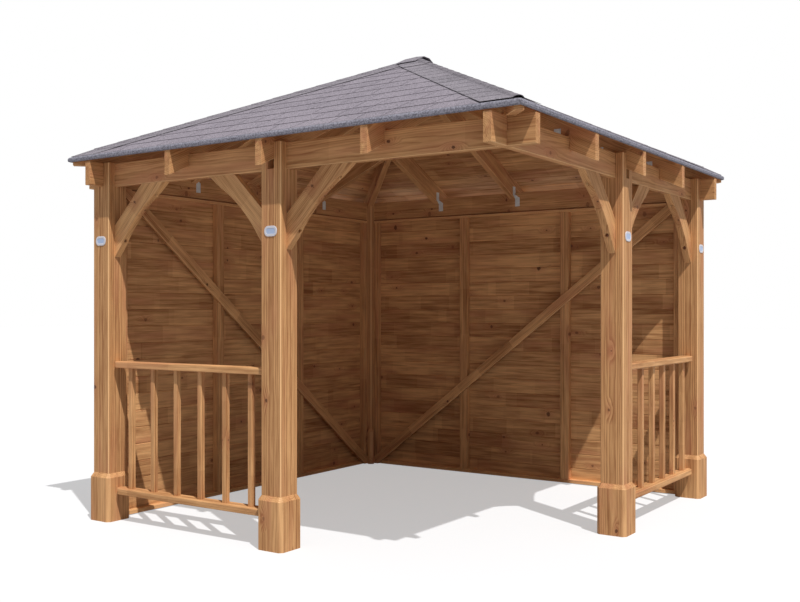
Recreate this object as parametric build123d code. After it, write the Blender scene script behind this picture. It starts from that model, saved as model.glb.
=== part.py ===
"""Garden gazebo, 3 m by 3 m, with two boarded walls, two half railings and one open corner.

Millimetres.  +X is right, +Y is back, +Z is up.  The origin is on the ground, at the middle of the plan.
Each side of the gazebo is modelled as the front one, in its own local frame, and then turned about Z:
there u runs along the side (local +X) and v runs outwards from the middle (local -Y).
"""
from build123d import *
from math import atan2, degrees, hypot, sin, sqrt
import os

# ---------------------------------------------------------------- plan and heights
LENGTH = 3000.0             # over the outer faces of the posts, along X
DEPTH = 3000.0              # over the outer faces of the posts, along Y
BEAM_UNDERSIDE = 2127.0     # from the ground to the underside of the beams
ROOF_RISE = 738.0           # from the eaves to the apex, on the underside of the roof boards
OVERHANG = 104.0            # of beams, rafters and roof boards, beyond the posts

# ---------------------------------------------------------------- posts and their feet
POST = 145.0
POST_CHAMFER = 5.0
FOOT_WALL = 20.0            # the foot is a sleeve round the post
FOOT_HEIGHT = 278.0         # of its upright faces
FOOT_BEVEL = 27.0           # height of the bevel on top of them
FOOT_LIP = 1.0              # width left at the very top of the bevel
FOOT_CHAMFER = 20.0

# ---------------------------------------------------------------- beams, rafters and braces
BEAM_THICK = 47.0
BEAM_HEIGHT = 148.0
BEAM_EASE = 3.0             # chamfer along the edges of the beams
RAFTER_THICK = 47.0
RAFTER_PLUMB = 148.0        # depth of the rafters, measured plumb
HIP_TAIL_DROP = 14.0        # the hip tails hang this far below the tops of the beams
BOSS_WIDTH = 132.0          # across the flats of the block that the rafters meet on
BOSS_HEIGHT = 210.0
BRACE_THICK = 45.0
BRACE_REACH = 448.0         # from the corner of post and beam to the far end of a brace
BRACE_BACK = 249.0          # from that corner to where the straight back edge starts
BRACE_NOSE = (370.0, 64.0)  # where the curved edge starts: along the beam, and below it
BRACE_CROWN = 199.0         # middle of the curved edge, along the beam and below it

# ---------------------------------------------------------------- roof covering
BOARD_PLUMB = 22.0          # thickness of the roof boards, measured plumb
FELT_PLUMB = 12.0           # thickness of the felt and shingles, measured plumb
FELT_LAP = 8.0              # thickness of the felt folded down over the edge of the boards
FELT_ROUND = 7.0            # radius of its upper edge at the eaves
FELT_EASE = 2.0             # radius of its lower edge there
HIP_CAP_REACH = 153.0       # in plan, from the hip to the edge of its cap
HIP_CAP_THICK = 4.0         # all across, measured square to the hip
HIP_CAP_BEND = 35.0         # radius of the fold, which doesn't lie down on the hip
HIP_CAP_CROWN = 5.0         # height of the fold above the hip, on its underside
HIP_CAP_SETBACK = 6.0       # the caps stop this short of the edge of the felt
APEX_CAP_LENGTH = 156.0     # of the strip folded over the apex, along its fold
APEX_CAP_REACH = 150.0      # in plan, from its fold to its lower edges
APEX_CAP_PLUMB = 3.5
APEX_CAP_SAG = 14.0         # of its fold, from over the apex to its open ends

# ---------------------------------------------------------------- boarded walls
FRAME_INSET = 43.0          # from the inner faces of the posts to the face of the wall frame
FRAME_DEPTH = 45.0
FRAME_RAIL = 27.0           # height of the rails of the wall frame
STUD_WIDTH = 70.0
END_STUD_WIDTH = 45.0
STUDS = 2                   # between the end studs of each wall
CLADDING = 16.0
DIAGONAL_WIDTH = 70.0
DIAGONAL_THICK = 22.0
WALL_CLEAR = 5.0            # under the walls

# ---------------------------------------------------------------- half railings
HANDRAIL_TOP = 1014.0
LOW_RAIL_TOP = 213.0
RAIL_HEIGHT = 40.0
RAIL_WIDTH = 86.0
RAIL_CORNER = 28.0          # cut off the corners of the rails, in plan
RAIL_EASE = 5.0             # chamfer along the edges of the rails
BALUSTER = 33.0
BALUSTER_EASE = 3.0
BALUSTERS = 6
BALUSTER_END = 136.0        # from the face of a post to the middle of the first baluster

# ---------------------------------------------------------------- metalwork
CLIP_WIDTH = 40.0
CLIP_HEIGHT = 156.0
CLIP_THICK = 2.0
CLIP_DROP = 108.0           # from the tops of the beams to the lower ends of the clips
CLIP_SHORT = 66.0           # length of each leg along its free edge
CLIP_LONG = 94.0            # and along the fold, where the two legs overlap
PLATE_WIDTH = 96.0
PLATE_HEIGHT = 64.0
PLATE_THICK = 4.0
PLATE_CORNER = 22.0
PLATE_DROP = 347.0          # from the underside of the beams to the middle of a plate

# ---------------------------------------------------------------- clearances
SLOT_FIT = 0.5              # each side of a timber in a slot or a halving
SEAT = 0.3                  # between the end of a timber and what it butts on
MITRE = 0.4                 # each side of the joints along the hips

# ---------------------------------------------------------------- worked out from the above
BEAM_TOP = BEAM_UNDERSIDE + BEAM_HEIGHT
EAVES = BEAM_TOP + 7.0                  # underside of the roof boards at their outer edge
HALF_X = LENGTH / 2 + OVERHANG          # from the middle to the ends of the rafters
HALF_Y = DEPTH / 2 + OVERHANG
SLOT = BEAM_THICK + 2 * SLOT_FIT
HIP = hypot(HALF_X, HALF_Y)             # length of a hip, in plan
FELT_TOP = EAVES + BOARD_PLUMB + FELT_PLUMB     # at the edge of the boards
FOOT = POST + 2 * FOOT_WALL
WALL_TOP = BEAM_UNDERSIDE - SEAT
TALL = EAVES + ROOF_RISE + 500.0        # well above everything
TURNS = {"front": 0, "right": 90, "back": 180, "left": 270}
WALLED = ("left", "back")               # the other two sides have a middle post


# ---------------------------------------------------------------- helpers
def block(x_range, y_range, z_range):
    """A box between two values of x, of y and of z."""
    sizes = [high - low for low, high in (x_range, y_range, z_range)]
    middle = [(high + low) / 2 for low, high in (x_range, y_range, z_range)]
    return Pos(*middle) * Box(*sizes)


def outline(points):
    """A flat face with straight edges."""
    return make_face(Polyline(*points, close=True))


def post_side(side):
    """Half sizes over the posts, outwards from the middle and along the side."""
    if side in ("front", "back"):
        return DEPTH / 2, LENGTH / 2
    return LENGTH / 2, DEPTH / 2


def turned(side, shape):
    """A shape modelled in the local frame of a side, turned to its place."""
    return Rot(0, 0, TURNS[side]) * shape


def across(profile, u_from, u_to):
    """A profile given as (v, z) points, run along a side from u_from to u_to."""
    face = Plane.YZ * outline([(-v, z) for v, z in profile])
    return Pos(u_from, 0, 0) * extrude(face, amount=u_to - u_from, dir=(1, 0, 0))


def wedge(side, inset):
    """The plan triangle of one side of the roof, drawn in from both hips by inset, at all heights."""
    out, along = post_side(side)
    far_v, far_u = 2 * (out + OVERHANG), 2 * (along + OVERHANG)
    start = inset / sin(atan2(far_u, far_v))
    plan = outline([(0, -start), (far_u, -start - far_v), (-far_u, -start - far_v)])
    return extrude(plan, amount=TALL, dir=(0, 0, 1))


def pyramid(lift, grow, base):
    """The solid under the roof surface raised by lift, with upright sides grow beyond the boards."""
    x_end, y_end = HALF_X + grow, HALF_Y + grow
    apex = EAVES + ROOF_RISE + lift

    def gable(end, half):
        low = apex - ROOF_RISE * end / half
        return [(-end, base), (end, base), (end, low), (0, apex), (-end, low)]

    front_to_back = extrude(Plane.YZ * outline(gable(y_end, HALF_Y)), amount=x_end, both=True)
    side_to_side = extrude(Plane.XZ * outline(gable(x_end, HALF_X)), amount=y_end, both=True)
    return front_to_back & side_to_side


def shell(top_lift, bottom_lift, top_grow, bottom_grow, base):
    """What lies between two roof surfaces."""
    return pyramid(top_lift, top_grow, base) - pyramid(bottom_lift, bottom_grow, 0.0)


# ---------------------------------------------------------------- posts
def post_places():
    """The middle of each post; the front right corner has none."""
    x, y = LENGTH / 2 - POST / 2, DEPTH / 2 - POST / 2
    return {
        "front_left_post": (-x, -y),
        "front_middle_post": (0.0, -y),
        "right_middle_post": (x, 0.0),
        "back_right_post": (x, y),
        "back_left_post": (-x, y),
    }


def post(x, y):
    """A square post with chamfered edges, and crossed slots that leave four horns at its top."""
    along_x = RAFTER_THICK if y == 0.0 else BEAM_THICK
    along_y = RAFTER_THICK if x == 0.0 else BEAM_THICK
    slot_z = (BEAM_UNDERSIDE, BEAM_TOP + 1)
    shaft = extrude(octagon(POST, POST_CHAMFER), amount=BEAM_TOP)
    shaft -= block((-POST, POST), (-along_x / 2 - SLOT_FIT, along_x / 2 + SLOT_FIT), slot_z)
    shaft -= block((-along_y / 2 - SLOT_FIT, along_y / 2 + SLOT_FIT), (-POST, POST), slot_z)
    return Pos(x, y, 0) * shaft


def octagon(width, cut):
    """A square with its corners cut off."""
    half, flat = width / 2, width / 2 - cut
    quarter = [(half, flat), (flat, half)]
    points = []
    for x_sign, y_sign, order in ((1, 1, 1), (-1, 1, -1), (-1, -1, 1), (1, -1, -1)):
        points += [(x * x_sign, y * y_sign) for x, y in quarter[::order]]
    return outline(points)


def foot():
    """The sleeve round the bottom of a post, bevelled at its top."""
    bevel = FOOT_WALL - FOOT_LIP
    sleeve = extrude(octagon(FOOT, FOOT_CHAMFER), amount=FOOT_HEIGHT)
    taper = degrees(atan2(bevel, FOOT_BEVEL))
    sleeve += Pos(0, 0, FOOT_HEIGHT) * extrude(octagon(FOOT, FOOT_CHAMFER), amount=FOOT_BEVEL, taper=taper)
    core = octagon(POST + 2 * SEAT, POST_CHAMFER)
    return sleeve - extrude(core, amount=FOOT_HEIGHT + FOOT_BEVEL + 1)


def post_feet():
    """A foot on every post, cut round the ends of the boarded walls."""
    wall_room = []
    for side in WALLED:
        out, along = post_side(side)
        inner = out - POST + FRAME_INSET - DIAGONAL_THICK - SEAT
        outer = out - POST + FRAME_INSET + FRAME_DEPTH + CLADDING + SEAT
        room = block((POST - along, along - POST), (-outer, -inner), (-1, BEAM_UNDERSIDE))
        wall_room.append(turned(side, room))
    feet = []
    for x, y in post_places().values():
        piece = Pos(x, y, 0) * foot()
        for room in wall_room:
            piece -= room
        feet += piece.solids()
    return Compound(children=feet)


# ---------------------------------------------------------------- beams and rafters
def beam(side):
    """A beam through the slots of its posts, halved where it crosses its neighbours."""
    out, along = post_side(side)
    middle = out - POST / 2
    timber = block((-along - OVERHANG, along + OVERHANG),
                   (-middle - BEAM_THICK / 2, -middle + BEAM_THICK / 2), (BEAM_UNDERSIDE, BEAM_TOP))
    timber = chamfer(timber.edges().filter_by(Axis.X), BEAM_EASE)
    half_height = BEAM_UNDERSIDE + BEAM_HEIGHT / 2
    keeps_lower_half = side in ("front", "back")
    notch_z = (half_height, BEAM_TOP + 1) if keeps_lower_half else (BEAM_UNDERSIDE - 1, half_height)
    for sign in (-1, 1):
        crossing = sign * (along - POST / 2)
        timber -= block((crossing - SLOT / 2, crossing + SLOT / 2), (-out, -out + POST), notch_z)
    return turned(side, timber)


def rafter_blank(out, v_from):
    """A rafter on the middle of a side, from v_from to its tail, notched over the beam."""
    half = out + OVERHANG
    top = [(v, EAVES + ROOF_RISE * (1 - v / half)) for v in (v_from, half)]
    timber = across(top + [(v, z - RAFTER_PLUMB) for v, z in reversed(top)], -RAFTER_THICK / 2, RAFTER_THICK / 2)
    middle = out - POST / 2
    notch = block((-RAFTER_THICK, RAFTER_THICK), (-middle - SLOT / 2, -middle + SLOT / 2),
                  (BEAM_UNDERSIDE, BEAM_TOP))
    return timber - notch


def rafters(side):
    """The three rafters of a side: one up to the apex, and two cut off against the hips."""
    out, along = post_side(side)
    spread = (along - POST / 2) / 2
    room = wedge(side, RAFTER_THICK / 2 + SEAT)
    pieces = [rafter_blank(out, BOSS_WIDTH / 2 + SEAT)]
    for u in (-spread, spread):
        pieces.append(Pos(u, 0, 0) * rafter_blank(out, out / 4) & room)
    return turned(side, Compound(children=pieces))


def hip_rafter(x_sign, y_sign):
    """A corner rafter under two sides of the roof, seated on the crossing of the beams."""
    corner_ratio = min(HALF_X / HALF_Y, HALF_Y / HALF_X)
    ends = (BOSS_WIDTH / 2 + SEAT, HIP - RAFTER_THICK / 2 * corner_ratio)
    heights = [(d, EAVES + ROOF_RISE * (1 - d / HIP)) for d in ends]
    face = Plane.XZ * outline([(d, z + RAFTER_THICK) for d, z in heights]
                              + [(d, z - RAFTER_PLUMB) for d, z in reversed(heights)])
    timber = extrude(face, amount=RAFTER_THICK / 2, both=True)
    timber = Rot(0, 0, degrees(atan2(y_sign * HALF_Y, x_sign * HALF_X))) * timber
    timber &= pyramid(0.0, 0.0, 0.0)    # its top is backed to both sides of the roof
    for past_post, top in ((OVERHANG + 1, BEAM_TOP - HIP_TAIL_DROP), (SEAT, BEAM_TOP)):
        corner_x = sorted((x_sign * (LENGTH / 2 - POST - SEAT), x_sign * (LENGTH / 2 + past_post)))
        corner_y = sorted((y_sign * (DEPTH / 2 - POST - SEAT), y_sign * (DEPTH / 2 + past_post)))
        timber -= block(corner_x, corner_y, (0, top))
    for out, over, turn in ((DEPTH / 2, HALF_X, 0), (LENGTH / 2, HALF_Y, 90)):
        for sign in (-1, 1):
            middle = sign * (out - POST / 2)
            run = block((-over, over), (middle - SLOT / 2, middle + SLOT / 2), (0, BEAM_TOP))
            timber -= Rot(0, 0, turn) * run
    return timber


def boss():
    """The block under the apex, with a flat for each of the eight rafters that meet there."""
    corner = degrees(atan2(HALF_Y, HALF_X))
    angles = [0, corner, 90, 180 - corner, 180, 180 + corner, 270, 360 - corner]
    body = extrude(Rectangle(2 * BOSS_WIDTH, 2 * BOSS_WIDTH), amount=TALL)
    for angle in angles:
        keep = block((-3 * BOSS_WIDTH, BOSS_WIDTH / 2), (-3 * BOSS_WIDTH, 3 * BOSS_WIDTH), (-1, TALL + 1))
        body &= Rot(0, 0, angle) * keep
    apex = EAVES + ROOF_RISE
    body &= block((-BOSS_WIDTH, BOSS_WIDTH), (-BOSS_WIDTH, BOSS_WIDTH), (apex - BOSS_HEIGHT, apex))
    return body & pyramid(-SEAT, 0.0, 0.0)


# ---------------------------------------------------------------- knee braces
def brace(side, post_face, direction):
    """An arched brace in the plane of a side, from the face of a post up to the beam."""
    out, _ = post_side(side)
    nose_p, nose_q = BRACE_NOSE
    edge = [
        Polyline((0, -BRACE_REACH), (0, -BRACE_BACK), (BRACE_BACK, 0), (BRACE_REACH, 0), (nose_p, -nose_q)),
        ThreePointArc((nose_p, -nose_q), (BRACE_CROWN, -BRACE_CROWN), (nose_q, -nose_p)),
        Line((nose_q, -nose_p), (0, -BRACE_REACH)),
    ]
    piece = extrude(Plane.XZ * make_face(edge), amount=BRACE_THICK / 2, both=True)
    if direction < 0:
        piece = mirror(piece, about=Plane.YZ)
    place = Pos(post_face + direction * SEAT, -(out - POST / 2), BEAM_UNDERSIDE - SEAT)
    return turned(side, place * piece)


# ---------------------------------------------------------------- roof covering
def roof_boards(side):
    """The boards of one side of the roof."""
    return shell(BOARD_PLUMB, 0.0, 0.0, 1.0, EAVES - 1) & turned(side, wedge(side, MITRE))


def roof_felt(side):
    """The felt and shingles of one side of the roof, folded down over the edge of the boards."""
    sheet = shell(BOARD_PLUMB + FELT_PLUMB, BOARD_PLUMB, FELT_LAP, 0.0, EAVES)
    sheet = Rot(0, 0, -TURNS[side]) * sheet & wedge(side, MITRE)
    for radius, place in ((FELT_ROUND, -1), (FELT_EASE, 0)):
        eaves_edges = sheet.edges().filter_by(Axis.X).group_by(Axis.Y)[0]
        sheet = fillet(eaves_edges.sort_by(Axis.Z)[place], radius)
    return turned(side, sheet)


def fall_across_hip(run, other):
    """Fall of the roof away from a hip, seen along the hip, on a side that slopes down over run."""
    return ROOF_RISE / run * other / hypot(HIP, ROOF_RISE)


def hip_cap_section(falls):
    """A strip folded over a hip, seen along it, with its underside at (0, 0) but for its raised fold."""
    drop = HIP_CAP_BEND - HIP_CAP_CROWN
    lines = []
    for lift in (0.0, HIP_CAP_THICK):
        ends = []
        for sign, fall in zip((-1, 1), falls):
            near = (drop * fall + sqrt(HIP_CAP_BEND ** 2 * (1 + fall ** 2) - drop ** 2)) / (1 + fall ** 2)
            ends.append([(sign * t, lift - fall * t) for t in (HIP_CAP_REACH, near)])
        (far_left, near_left), (far_right, near_right) = ends
        lines.append(Line(far_left, near_left))
        lines.append(ThreePointArc(near_left, (0, lift + HIP_CAP_CROWN), near_right))
        lines.append(Line(near_right, far_right))
    lines.append(Line(lines[0] @ 0, lines[3] @ 0))
    lines.append(Line(lines[2] @ 1, lines[5] @ 1))
    return make_face(lines)


def hip_caps():
    """The strips folded over the four hips, mitred where they meet at the apex."""
    fall_x, fall_y = fall_across_hip(HALF_X, HALF_Y), fall_across_hip(HALF_Y, HALF_X)
    end_x, end_y = [half + FELT_LAP - HIP_CAP_SETBACK for half in (HALF_X, HALF_Y)]
    start = -2 * HIP_CAP_REACH              # beyond the apex
    origin = (start, 0, FELT_TOP + ROOF_RISE * (1 - start / HIP) + SEAT)
    down_hip = Plane(origin=origin, x_dir=(0, 1, 0), z_dir=(HIP, 0, -ROOF_RISE))
    pieces = []
    for x_sign in (-1, 1):
        for y_sign in (-1, 1):
            falls = (fall_x, fall_y) if x_sign == y_sign else (fall_y, fall_x)
            strip = extrude(down_hip * hip_cap_section(falls), amount=2 * HIP)
            strip = Rot(0, 0, degrees(atan2(y_sign * HALF_Y, x_sign * HALF_X))) * strip
            quarter = block(sorted((x_sign * MITRE, x_sign * end_x)), sorted((y_sign * MITRE, y_sign * end_y)),
                            (0, TALL))
            pieces.append(strip & quarter)
    return Compound(children=pieces)


def under_apex_cap(crown, crease):
    """The solid under a fold along X, creased off at its crown, that sags towards both of its ends."""
    half, slope = APEX_CAP_LENGTH / 2, ROOF_RISE / HALF_Y
    corner = crown + crease
    edge = corner - slope * APEX_CAP_REACH
    section = [(-APEX_CAP_REACH, EAVES), (-APEX_CAP_REACH, edge), (0, corner), (APEX_CAP_REACH, edge),
               (APEX_CAP_REACH, EAVES)]
    body = across(section, -half, half)
    reach = (-TALL, TALL)
    for angle in (-degrees(atan2(APEX_CAP_SAG, half)), degrees(atan2(APEX_CAP_SAG, half))):
        body &= Pos(0, 0, crown) * Rot(0, angle, 0) * block(reach, reach, (-TALL, 0))
    return body


def apex_cap():
    """A short strip folded over the apex, resting on the folds of the hip caps and open at both ends."""
    stretch = hypot(HIP, ROOF_RISE) / HIP
    crease = HIP_CAP_BEND * (sqrt(1 + fall_across_hip(HALF_Y, HALF_X) ** 2) - 1) * stretch
    crown = FELT_TOP + ROOF_RISE + (HIP_CAP_CROWN + HIP_CAP_THICK) * stretch + 2 * SEAT
    return under_apex_cap(crown + APEX_CAP_PLUMB, crease) - under_apex_cap(crown, crease)


# ---------------------------------------------------------------- boarded walls
def wall_frame(side):
    """Rails and studs between the posts of a wall, seen from the inside."""
    out, along = post_side(side)
    inner = out - POST + FRAME_INSET
    depth = (-inner - FRAME_DEPTH, -inner)
    end = along - POST - SEAT
    low_rail = (WALL_CLEAR, WALL_CLEAR + FRAME_RAIL)
    top_rail = (WALL_TOP - FRAME_RAIL, WALL_TOP)
    stud_z = (low_rail[1] + SEAT, top_rail[0] - SEAT)
    pieces = [block((-end, end), depth, z) for z in (low_rail, top_rail)]
    for u_range in ((-end, -end + END_STUD_WIDTH), (end - END_STUD_WIDTH, end)):
        pieces.append(block(u_range, depth, stud_z))
    for index in range(STUDS):
        u = -end + 2 * end * (index + 1) / (STUDS + 1)
        pieces.append(block((u - STUD_WIDTH / 2, u + STUD_WIDTH / 2), depth, stud_z))
    return turned(side, Compound(children=pieces))


def wall_boards(side):
    """The boards on the outside of a wall frame."""
    out, along = post_side(side)
    face = out - POST + FRAME_INSET + FRAME_DEPTH
    end = along - POST - SEAT
    return turned(side, block((-end, end), (-face - CLADDING, -face), (WALL_CLEAR, WALL_TOP)))


def wall_diagonal(side, rises_to):
    """The long brace on the inside of a wall frame, from the back left corner up to the other post."""
    out, along = post_side(side)
    inner = out - POST + FRAME_INSET
    end = along - POST - SEAT
    rise = WALL_TOP - WALL_CLEAR
    bar = Box(3 * end, DIAGONAL_THICK, DIAGONAL_WIDTH)
    bar = Pos(0, -inner + DIAGONAL_THICK / 2, WALL_CLEAR + rise / 2) * Rot(0, -rises_to * degrees(
        atan2(rise, 2 * end)), 0) * bar
    return turned(side, bar & block((-end, end), (-out, 0), (WALL_CLEAR, WALL_TOP)))


# ---------------------------------------------------------------- half railings
def rail(u_from, u_to, top):
    """A flat rail with its corners cut off and its edges eased, centred on v = 0."""
    half, cut = RAIL_WIDTH / 2, RAIL_CORNER
    plan = [(u_from, -half + cut), (u_from + cut, -half), (u_to - cut, -half), (u_to, -half + cut),
            (u_to, half - cut), (u_to - cut, half), (u_from + cut, half), (u_from, half - cut)]
    timber = extrude(outline(plan), amount=RAIL_HEIGHT, dir=(0, 0, 1))
    timber = chamfer(timber.edges().filter_by(Axis.X), RAIL_EASE)
    return Pos(0, 0, top - RAIL_HEIGHT) * timber


def railing(side, post_from, post_to):
    """A half railing between the faces of two posts."""
    out, _ = post_side(side)
    panel = rail(post_from + SEAT, post_to - SEAT, HANDRAIL_TOP)
    panel += rail(post_from + FOOT_WALL + SEAT, post_to - FOOT_WALL - SEAT, LOW_RAIL_TOP)
    pitch = (post_to - post_from - 2 * BALUSTER_END) / (BALUSTERS - 1)
    low, high = LOW_RAIL_TOP - RAIL_HEIGHT / 2, HANDRAIL_TOP - RAIL_HEIGHT / 2
    for index in range(BALUSTERS):
        u = post_from + BALUSTER_END + index * pitch
        panel += Pos(u, 0, low) * extrude(octagon(BALUSTER, BALUSTER_EASE), amount=high - low)
    return turned(side, Pos(0, -(out - POST / 2), 0) * panel)


# ---------------------------------------------------------------- metalwork
def clip():
    """A strap folded upright, with one leg down a face square to Y and the other up a face square to X."""
    lower = [(0, 0), (0, CLIP_LONG), (CLIP_WIDTH, CLIP_SHORT), (CLIP_WIDTH, 0)]
    upper = [(s, CLIP_HEIGHT - z) for s, z in lower]
    down = extrude(Plane.XZ * outline([(-s, z) for s, z in lower]), amount=-CLIP_THICK)
    up = extrude(Plane.YZ * outline(upper), amount=-CLIP_THICK)
    return down + up


def rafter_clips():
    """Twisted straps that tie each rafter to the inner face of its beam, or of the middle post."""
    pieces = []
    for side in TURNS:
        out, along = post_side(side)
        spread = (along - POST / 2) / 2
        for u in (-spread, 0.0, spread):
            on_post = u == 0.0 and side not in WALLED
            face = -out + (POST if on_post else POST / 2 + BEAM_THICK / 2)
            place = Pos(u - RAFTER_THICK / 2 - SEAT, face + SEAT, BEAM_TOP - CLIP_DROP)
            pieces.append(turned(side, place * clip()))
    return Compound(children=pieces)


def post_plates():
    """A small rounded plate on the outer face of each open post."""
    plate = extrude(Plane.XZ * RectangleRounded(PLATE_WIDTH, PLATE_HEIGHT, PLATE_CORNER), amount=PLATE_THICK)
    pieces = []
    for side, spots in (("front", (-1, 0)), ("right", (0, 1))):
        out, along = post_side(side)
        for spot in spots:
            place = Pos(spot * (along - POST / 2), -out, BEAM_UNDERSIDE - PLATE_DROP)
            pieces.append(turned(side, place * plate))
    return Compound(children=pieces)


# ---------------------------------------------------------------- the whole gazebo
def gazebo():
    """Every piece, by the name of its node."""
    parts = {name: post(x, y) for name, (x, y) in post_places().items()}
    parts["post_feet"] = post_feet()
    for side in TURNS:
        parts[side + "_beam"] = beam(side)
        parts[side + "_rafters"] = rafters(side)
        parts[side + "_roof_boards"] = roof_boards(side)
        parts[side + "_roof_felt"] = roof_felt(side)
    for name, x_sign, y_sign in (("front_left", -1, -1), ("front_right", 1, -1), ("back_right", 1, 1),
                                 ("back_left", -1, 1)):
        parts[name + "_hip_rafter"] = hip_rafter(x_sign, y_sign)
    parts["apex_boss"] = boss()
    parts["hip_caps"] = hip_caps()
    parts["apex_cap"] = apex_cap()

    end_x, end_y, half_post = LENGTH / 2 - POST, DEPTH / 2 - POST, POST / 2
    parts["front_left_brace"] = brace("front", -end_x, 1)
    parts["front_middle_left_brace"] = brace("front", -half_post, -1)
    parts["front_middle_right_brace"] = brace("front", half_post, 1)
    parts["right_middle_front_brace"] = brace("right", -half_post, -1)
    parts["right_middle_back_brace"] = brace("right", half_post, 1)
    parts["right_back_brace"] = brace("right", end_y, -1)
    parts["front_railing"] = railing("front", -end_x, -half_post)
    parts["right_railing"] = railing("right", half_post, end_y)

    for side, rises_to in zip(WALLED, (1, -1)):
        parts[side + "_wall_frame"] = wall_frame(side)
        parts[side + "_wall_boards"] = wall_boards(side)
        parts[side + "_wall_diagonal"] = wall_diagonal(side, rises_to)
    parts["rafter_clips"] = rafter_clips()
    parts["post_plates"] = post_plates()
    return parts


os.makedirs("parts", exist_ok=True)
for node, shape in gazebo().items():
    export_step(shape, "parts/" + node + ".step")
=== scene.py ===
"""The looks of the garden gazebo: boards, shingles, metalwork, finishes, light and camera.

Metres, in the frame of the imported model: +X is right, +Y is back, +Z is up.  Each side of the gazebo
is made as the front one, with u along it (+X) and v outwards from the middle (-Y), and then turned
about Z, as in the CAD model.
"""
import math
import random

import bmesh
import bpy
from mathutils import Matrix, Vector


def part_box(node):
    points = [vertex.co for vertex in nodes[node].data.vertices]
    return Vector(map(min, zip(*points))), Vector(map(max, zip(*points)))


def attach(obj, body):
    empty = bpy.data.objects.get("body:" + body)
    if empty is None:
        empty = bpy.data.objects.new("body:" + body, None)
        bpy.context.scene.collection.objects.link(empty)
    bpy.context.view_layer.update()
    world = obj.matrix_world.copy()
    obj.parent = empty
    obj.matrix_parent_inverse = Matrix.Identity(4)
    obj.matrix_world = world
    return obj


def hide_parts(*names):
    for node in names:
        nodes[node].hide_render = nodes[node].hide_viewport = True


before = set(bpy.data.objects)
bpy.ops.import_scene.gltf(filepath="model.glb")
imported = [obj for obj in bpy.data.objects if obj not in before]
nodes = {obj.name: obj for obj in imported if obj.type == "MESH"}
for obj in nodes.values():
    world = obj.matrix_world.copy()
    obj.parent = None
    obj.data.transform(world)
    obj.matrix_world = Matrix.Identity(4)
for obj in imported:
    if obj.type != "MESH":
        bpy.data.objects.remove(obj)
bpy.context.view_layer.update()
dice = random.Random(7)

# ------------------------------ sizes, from the frame
TURNS = {"front": 0, "right": 90, "back": 180, "left": 270}
WALLED = ("left", "back")

boards_low, boards_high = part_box("front_roof_boards")
felt_low, felt_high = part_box("front_roof_felt")
post_low, post_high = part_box("back_left_post")
HALF = -boards_low.y             # from the middle to the edge of the roof boards
EAVES = boards_low.z             # underside of the roof boards at that edge
BOARD_PLUMB = 0.022              # thickness of the roof boards, measured plumb
FELT_PLUMB = 0.012               # and of the felt on them
SLOPE = (boards_high.z - BOARD_PLUMB - EAVES) / (HALF + boards_high.y)
PITCH = math.atan(SLOPE)
ALONG_SLOPE = math.cos(PITCH)
HIP_FALL = SLOPE / math.sqrt(2)  # of a hip, and of the roof away from it, in plan
FELT_TOP = EAVES + BOARD_PLUMB + FELT_PLUMB
APEX = FELT_TOP + SLOPE * HALF
FELT_EDGE = -felt_low.y
POST_PITCH = -(post_low.x + post_high.x) / 2
JACK_PITCH = POST_PITCH / 2      # between the rafters of a side
POST_HALF = 0.0725               # half the width of a post
BEAM_HALF = 0.0235               # half the thickness of a beam
SEAT = 0.0003                    # between the end of a timber and what it butts on
UP = (0, 0, 1)

ROOF_BOARDS = 15      # up each side of the roof
WALL_BOARDS = 19      # up each wall
GROOVE = 0.004        # of the V between two boards
BOARD_EASE = 0.0015   # on their far sides
BOARD_PLAY = 0.0014   # by how much a wall board is thinner than its CAD node
BOARD_PROUD = 0.0007  # and how far it may lie out
MITRE = 0.0006        # from a board to the hip
FIRST_COURSE = 0.148  # height of the strip along the eaves, up the slope
COURSE = 0.165        # of each course of shingles above it
COURSES = 10


def turned(side):
    """From the local frame of a side to its place."""
    return Matrix.Rotation(math.radians(TURNS[side]), 4, "Z")


def faced(side, way):
    """A direction in the frame of the front side, turned to another side."""
    return turned(side).to_3x3() @ Vector(way)


def to_local(side, node):
    """The box of a node in the local frame of its side, as its u, v and z ranges."""
    back = turned(side).inverted()
    low, high = (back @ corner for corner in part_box(node))
    return [tuple(sorted(pair)) for pair in zip((low.x, -low.y, low.z), (high.x, -high.y, high.z))]


# ------------------------------ shader helpers
def feed(tree, node, sockets):
    """Sets inputs of a node to values, or links them to other sockets."""
    for key, value in sockets.items():
        if isinstance(value, bpy.types.NodeSocket):
            tree.links.new(value, node.inputs[key])
        else:
            node.inputs[key].default_value = value


def add(tree, kind, sockets=None, **settings):
    """A shader node with its settings and inputs."""
    node = tree.nodes.new("ShaderNode" + kind)
    for key, value in settings.items():
        setattr(node, key, value)
    feed(tree, node, sockets or {})
    return node


def calc(tree, operation, *values):
    """A Math node's result."""
    return add(tree, "Math", dict(enumerate(values)), operation=operation).outputs[0]


def vector(tree, operation, first, second):
    """A Vector Math node's vector."""
    return add(tree, "VectorMath", {0: first, 1: second}, operation=operation).outputs[0]


def distance(tree, first, second):
    """The length of a pair of lengths at right angles."""
    pair = combine(tree, first, second)
    return add(tree, "VectorMath", {0: pair}, operation="LENGTH").outputs["Value"]


def ramp(tree, value, start, end, low=0.0, high=1.0):
    """Value from start to end, mapped to low to high, and held there outside."""
    sockets = {"Value": value, "From Min": start, "From Max": end, "To Min": low, "To Max": high}
    return add(tree, "MapRange", sockets).outputs[0]


def blend(tree, factor, first, second):
    """A mix of two colours."""
    pair = [end if isinstance(end, bpy.types.NodeSocket) else (*end, 1) for end in (first, second)]
    return add(tree, "Mix", {0: factor, 6: pair[0], 7: pair[1]}, data_type="RGBA").outputs[2]


def combine(tree, *parts):
    """A vector of up to three parts."""
    return add(tree, "CombineXYZ", dict(enumerate(parts))).outputs[0]


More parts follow.
